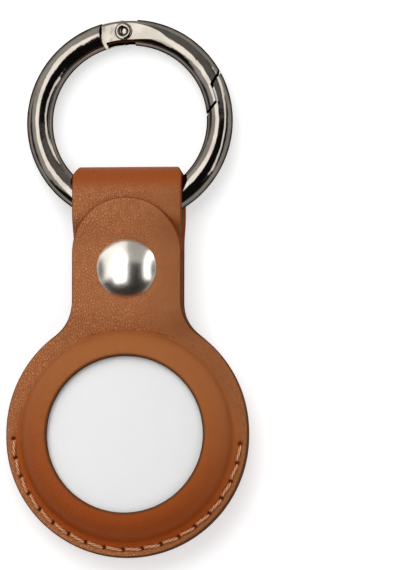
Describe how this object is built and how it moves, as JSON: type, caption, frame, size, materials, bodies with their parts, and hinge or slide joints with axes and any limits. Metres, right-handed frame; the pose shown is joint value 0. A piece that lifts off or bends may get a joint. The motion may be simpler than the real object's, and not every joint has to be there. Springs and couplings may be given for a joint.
{
  "type": "tracker tag holder",
  "caption": "Leather key holder with a round window pocket for a tracker tag, a snap-closed strap loop and a spring-gate key ring.",
  "frame": {"origin": "centre of the round pocket, on the plane that the back rests on", "axes": "+X across the holder to the right seen from the front, +Y from the pocket towards the key ring, +Z out of the front face"},
  "size_m": [0.04, 0.0891, 0.0102],
  "materials": {
    "leather": "tan, fine grain, semi-matt",
    "thread": "waxed thread, light tan",
    "satin_nickel": "satin nickel plate",
    "black_nickel": "polished black nickel plate",
    "spring_wire": "drawn wire",
    "white_plastic": "gloss white",
    "inner_plastic": "moulded, matt",
    "board": "green solder mask",
    "magnet": "nickelled magnet",
    "copper": "enamelled copper",
    "gold_plate": "gold-plated spring contact",
    "steel": "polished stainless steel"
  },
  "bodies": {
    "holder": {"back_panel": "leather", "strap_loop": "leather", "front_panel": "leather", "seam_thread": "thread", "tag_shell": "white_plastic", "tag_frame": "inner_plastic", "tag_board": "board", "tag_magnet": "magnet", "tag_voice_coil": "copper", "tag_battery": "steel", "tag_contacts": "gold_plate"},
    "tongue": {"front_tongue": "leather", "snap_cap": "satin_nickel", "snap_socket": "satin_nickel", "snap_spring": "spring_wire"},
    "folded_leg": {"strap_return": "leather", "snap_stud": "satin_nickel", "snap_post": "satin_nickel"},
    "key_ring": {"ring_body": "black_nickel", "gate_rivet": "black_nickel", "gate_spring": "spring_wire"},
    "gate": {"ring_gate": "black_nickel"},
    "cover": {"tag_cover": "steel", "tag_cover_liner": "inner_plastic"}
  },
  "joints": [
    {"name": "tongue_lift", "type": "hinge", "parent": "holder", "child": "tongue", "pos_m": [0, 0.0184, 0.00635], "axis": [1, 0, 0], "range_deg": [0, 90]},
    {"name": "leg_lift", "type": "hinge", "parent": "holder", "child": "folded_leg", "pos_m": [0, 0.0318, 0.00505], "axis": [-1, 0, 0], "range_deg": [0, 30]},
    {"name": "ring_swing", "type": "hinge", "parent": "holder", "child": "key_ring", "pos_m": [0, 0.0388, 0.0041], "axis": [1, 0, 0], "range_deg": [-70, 75], "deforming": ["strap_loop"]},
    {"name": "gate_hinge", "type": "hinge", "parent": "key_ring", "child": "gate", "pos_m": [-0.00104, 0.067, 0.0022], "axis": [0, -0.0671, -0.9977], "range_deg": [0, 28], "stiffness_Nm_per_rad": 0.02, "springref_deg": -34.38, "deforming": ["gate_spring"]},
    {"name": "cover_turn", "type": "hinge", "parent": "holder", "child": "cover", "pos_m": [0, 0, 0.0012], "axis": [0, 0, 1], "range_deg": [0, 25]}
  ],
  "couplings": [
    {"joint": "leg_lift", "follows": "tongue_lift", "ratio": 0.3333}
  ]
}
